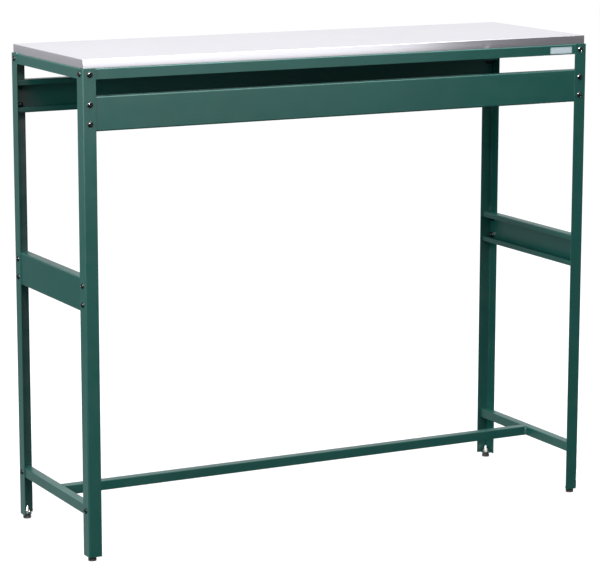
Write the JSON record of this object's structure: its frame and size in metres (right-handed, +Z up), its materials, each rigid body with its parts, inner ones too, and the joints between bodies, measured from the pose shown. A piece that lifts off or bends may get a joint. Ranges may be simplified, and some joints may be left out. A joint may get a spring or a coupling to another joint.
{
  "type": "potting bench",
  "caption": "Tall narrow potting bench: a bolted frame of folded angle legs, deep aprons and side rails under a flat metal tray worktop, on screw-adjustable feet.",
  "frame": {"origin": "on the floor, under the middle of the bench", "axes": "+X along the length to the right seen from the front, +Y from the front to the back, +Z up"},
  "size_m": [1.046, 0.341, 0.9],
  "materials": {
    "green_coat": "satin powder coat",
    "zinc_sheet": "bright, lightly brushed zinc sheet",
    "zinc_plating": "zinc plated, faint yellow and pink passivation",
    "stud_steel": "bright zinc plated thread",
    "black_screw": "gloss black, on screws and frame nuts",
    "black_plastic": "moulded, matte",
    "board": "dark particle board, unfinished underside",
    "label_film": "satin silver film, blank"
  },
  "bodies": {
    "frame": {"leg_front_left": "green_coat", "leg_front_right": "green_coat", "leg_rear_left": "green_coat", "leg_rear_right": "green_coat", "foot_plate_front_left": "green_coat", "foot_plate_front_right": "green_coat", "foot_plate_rear_left": "green_coat", "foot_plate_rear_right": "green_coat", "foot_nut_front_left": "zinc_plating", "foot_nut_front_right": "zinc_plating", "foot_nut_rear_left": "zinc_plating", "foot_nut_rear_right": "zinc_plating", "worktop_tray": "zinc_sheet", "worktop_board": "board", "worktop_screws": "zinc_plating", "top_rail_front": "green_coat", "top_rail_rear": "green_coat", "top_rail_left": "green_coat", "top_rail_right": "green_coat", "apron_front": "green_coat", "apron_rear": "green_coat", "side_rail_left": "green_coat", "side_rail_right": "green_coat", "lower_bar_left": "green_coat", "lower_bar_right": "green_coat", "stretcher": "green_coat", "stretcher_welds": "green_coat", "top_rail_screws": "black_screw", "apron_screws": "black_screw", "side_rail_screws": "black_screw", "lower_bar_screws": "black_screw", "top_rail_nuts": "black_screw", "apron_nuts": "black_screw", "side_rail_nuts": "black_screw", "lower_bar_weld_nuts": "zinc_plating", "label": "label_film"},
    "foot_front_left": {"foot_stud_front_left": "stud_steel", "foot_pad_front_left": "black_plastic"},
    "foot_front_right": {"foot_stud_front_right": "stud_steel", "foot_pad_front_right": "black_plastic"},
    "foot_rear_left": {"foot_stud_rear_left": "stud_steel", "foot_pad_rear_left": "black_plastic"},
    "foot_rear_right": {"foot_stud_rear_right": "stud_steel", "foot_pad_rear_right": "black_plastic"}
  },
  "joints": [
    {"name": "level_front_left", "type": "slide", "parent": "frame", "child": "foot_front_left", "axis": [0, 0, -1], "range_m": [0, 0.007]},
    {"name": "level_front_right", "type": "slide", "parent": "frame", "child": "foot_front_right", "axis": [0, 0, -1], "range_m": [0, 0.007]},
    {"name": "level_rear_left", "type": "slide", "parent": "frame", "child": "foot_rear_left", "axis": [0, 0, -1], "range_m": [0, 0.007]},
    {"name": "level_rear_right", "type": "slide", "parent": "frame", "child": "foot_rear_right", "axis": [0, 0, -1], "range_m": [0, 0.007]}
  ]
}
